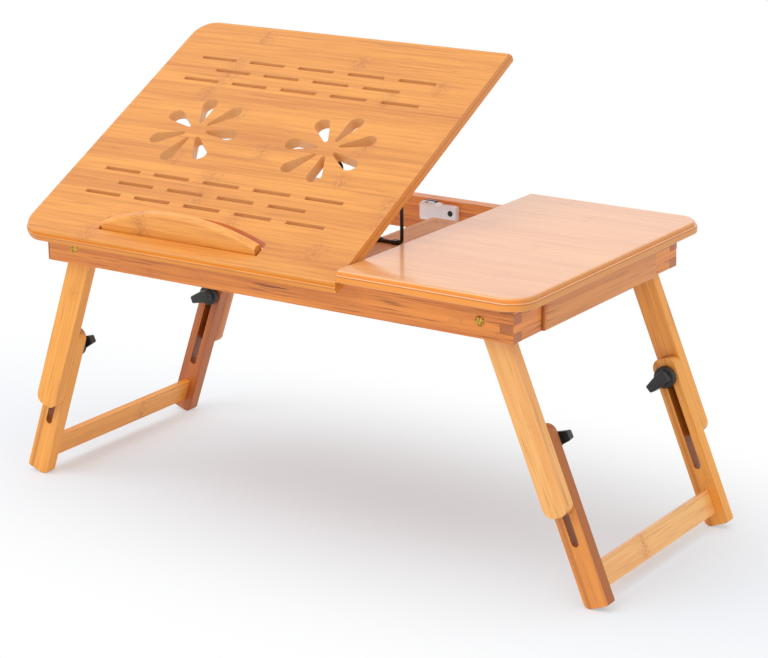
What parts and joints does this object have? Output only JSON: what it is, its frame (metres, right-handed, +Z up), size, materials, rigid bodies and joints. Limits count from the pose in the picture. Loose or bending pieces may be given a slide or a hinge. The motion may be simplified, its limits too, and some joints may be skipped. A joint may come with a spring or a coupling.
{
  "type": "laptop stand with drawer",
  "caption": "Bamboo bed tray for a laptop: a tilting vented board on a wire prop, a fixed side board over a drawer, and folding telescopic legs.",
  "frame": {"origin": "on the floor, under the middle of the box that the whole stand fills as it stands with its board raised", "axes": "+X along the top from the tilting board to the drawer end, +Y from the user to the back, +Z up"},
  "size_m": [0.5943, 0.3, 0.3798],
  "materials": {
    "bamboo_top": "satin lacquer",
    "bamboo_rail": "satin lacquer",
    "bamboo_leg": "satin lacquer",
    "bamboo_inner": "sanded",
    "brass": "satin",
    "steel": "zinc plated",
    "magnet": "sintered",
    "black_metal": "black oxide",
    "black_plastic": "fine matte",
    "white_plastic": "semi-gloss"
  },
  "bodies": {
    "frame": {"front_rail": "bamboo_rail", "back_rail": "bamboo_rail", "left_end_rail": "bamboo_rail", "right_front_stub": "bamboo_rail", "right_back_stub": "bamboo_rail", "divider": "bamboo_inner", "drawer_guide_front": "bamboo_inner", "drawer_guide_back": "bamboo_inner", "prop_board": "bamboo_inner", "prop_clips": "black_plastic", "prop_clip_screws": "steel", "fixed_top": "bamboo_top", "top_dowels": "bamboo_inner", "hinge_frame_leaves": "brass", "hinge_frame_screws": "brass", "hinge_pins": "steel", "leg_pivot_screws": "brass", "leg_pivot_nuts": "brass", "catch_body": "white_plastic", "catch_magnet": "magnet", "catch_pole_plates": "steel", "catch_screw": "black_metal"},
    "tilt_board": {"tilt_panel": "bamboo_top", "hinge_panel_leaves": "brass", "hinge_panel_screws": "brass", "strike_plate": "steel", "strike_screws": "steel", "prop_cleats": "bamboo_inner", "book_stop_pins": "steel"},
    "lip": {"book_stop": "bamboo_top"},
    "prop": {"prop_wire": "black_metal"},
    "drawer": {"drawer_front": "bamboo_rail", "drawer_front_side": "bamboo_inner", "drawer_back_side": "bamboo_inner", "drawer_back": "bamboo_inner", "drawer_bottom": "bamboo_inner"},
    "left_legs": {"left_front_upper_leg": "bamboo_leg", "left_back_upper_leg": "bamboo_leg", "left_clamp_inserts": "brass", "left_clamp_washers": "black_metal"},
    "left_feet": {"left_front_lower_leg": "bamboo_leg", "left_back_lower_leg": "bamboo_leg", "left_stretcher": "bamboo_leg", "left_stretcher_dowels": "bamboo_inner"},
    "left_front_knob": {"left_front_clamp_knob": "black_plastic", "left_front_clamp_stud": "steel"},
    "left_back_knob": {"left_back_clamp_knob": "black_plastic", "left_back_clamp_stud": "steel"},
    "right_legs": {"right_front_upper_leg": "bamboo_leg", "right_back_upper_leg": "bamboo_leg", "right_clamp_inserts": "brass", "right_clamp_washers": "black_metal"},
    "right_feet": {"right_front_lower_leg": "bamboo_leg", "right_back_lower_leg": "bamboo_leg", "right_stretcher": "bamboo_leg", "right_stretcher_dowels": "bamboo_inner"},
    "right_front_knob": {"right_front_clamp_knob": "black_plastic", "right_front_clamp_stud": "steel"},
    "right_back_knob": {"right_back_clamp_knob": "black_plastic", "right_back_clamp_stud": "steel"}
  },
  "joints": [
    {"name": "panel_tilt", "type": "hinge", "parent": "frame", "child": "tilt_board", "pos_m": [-0.00637, -0.1285, 0.24117], "axis": [1, 0, 0], "range_deg": [-28.2, 0]},
    {"name": "prop_swing", "type": "hinge", "parent": "frame", "child": "prop", "pos_m": [0.01363, -0.0095, 0.23658], "axis": [1, 0, 0], "range_deg": [-89.5, 0]},
    {"name": "book_stop_flip", "type": "hinge", "parent": "tilt_board", "child": "lip", "pos_m": [-0.09337, -0.13042, 0.24582], "axis": [1, 0, 0], "range_deg": [-75, 0]},
    {"name": "drawer_slide", "type": "slide", "parent": "frame", "child": "drawer", "axis": [1, 0, 0], "range_m": [0, 0.11]},
    {"name": "left_legs_fold", "type": "hinge", "parent": "frame", "child": "left_legs", "pos_m": [-0.20967, 0, 0.22477], "axis": [0, -1, 0], "range_deg": [0, 109.3]},
    {"name": "left_legs_slide", "type": "slide", "parent": "left_legs", "child": "left_feet", "axis": [0.3305, 0, 0.9438], "range_m": [-0.00465, 0.07455]},
    {"name": "left_front_knob_turn", "type": "hinge", "parent": "left_legs", "child": "left_front_knob", "pos_m": [-0.24536, -0.09, 0.12284], "axis": [0, 1, 0], "range_deg": [0, 180]},
    {"name": "left_back_knob_turn", "type": "hinge", "parent": "left_legs", "child": "left_back_knob", "pos_m": [-0.24536, 0.09, 0.12284], "axis": [0, 1, 0], "range_deg": [0, 180]},
    {"name": "right_legs_fold", "type": "hinge", "parent": "frame", "child": "right_legs", "pos_m": [0.1958, 0, 0.22477], "axis": [0, 1, 0], "range_deg": [0, 112.5]},
    {"name": "right_legs_slide", "type": "slide", "parent": "right_legs", "child": "right_feet", "axis": [-0.3827, 0, 0.9239], "range_m": [0, 0.0792]},
    {"name": "right_front_knob_turn", "type": "hinge", "parent": "right_legs", "child": "right_front_knob", "pos_m": [0.23713, -0.09, 0.12499], "axis": [0, 1, 0], "range_deg": [0, 180]},
    {"name": "right_back_knob_turn", "type": "hinge", "parent": "right_legs", "child": "right_back_knob", "pos_m": [0.23713, 0.09, 0.12499], "axis": [0, 1, 0], "range_deg": [0, 180]}
  ],
  "couplings": [
    {"joint": "prop_swing", "follows": "panel_tilt", "ratio": 3.1702}
  ]
}
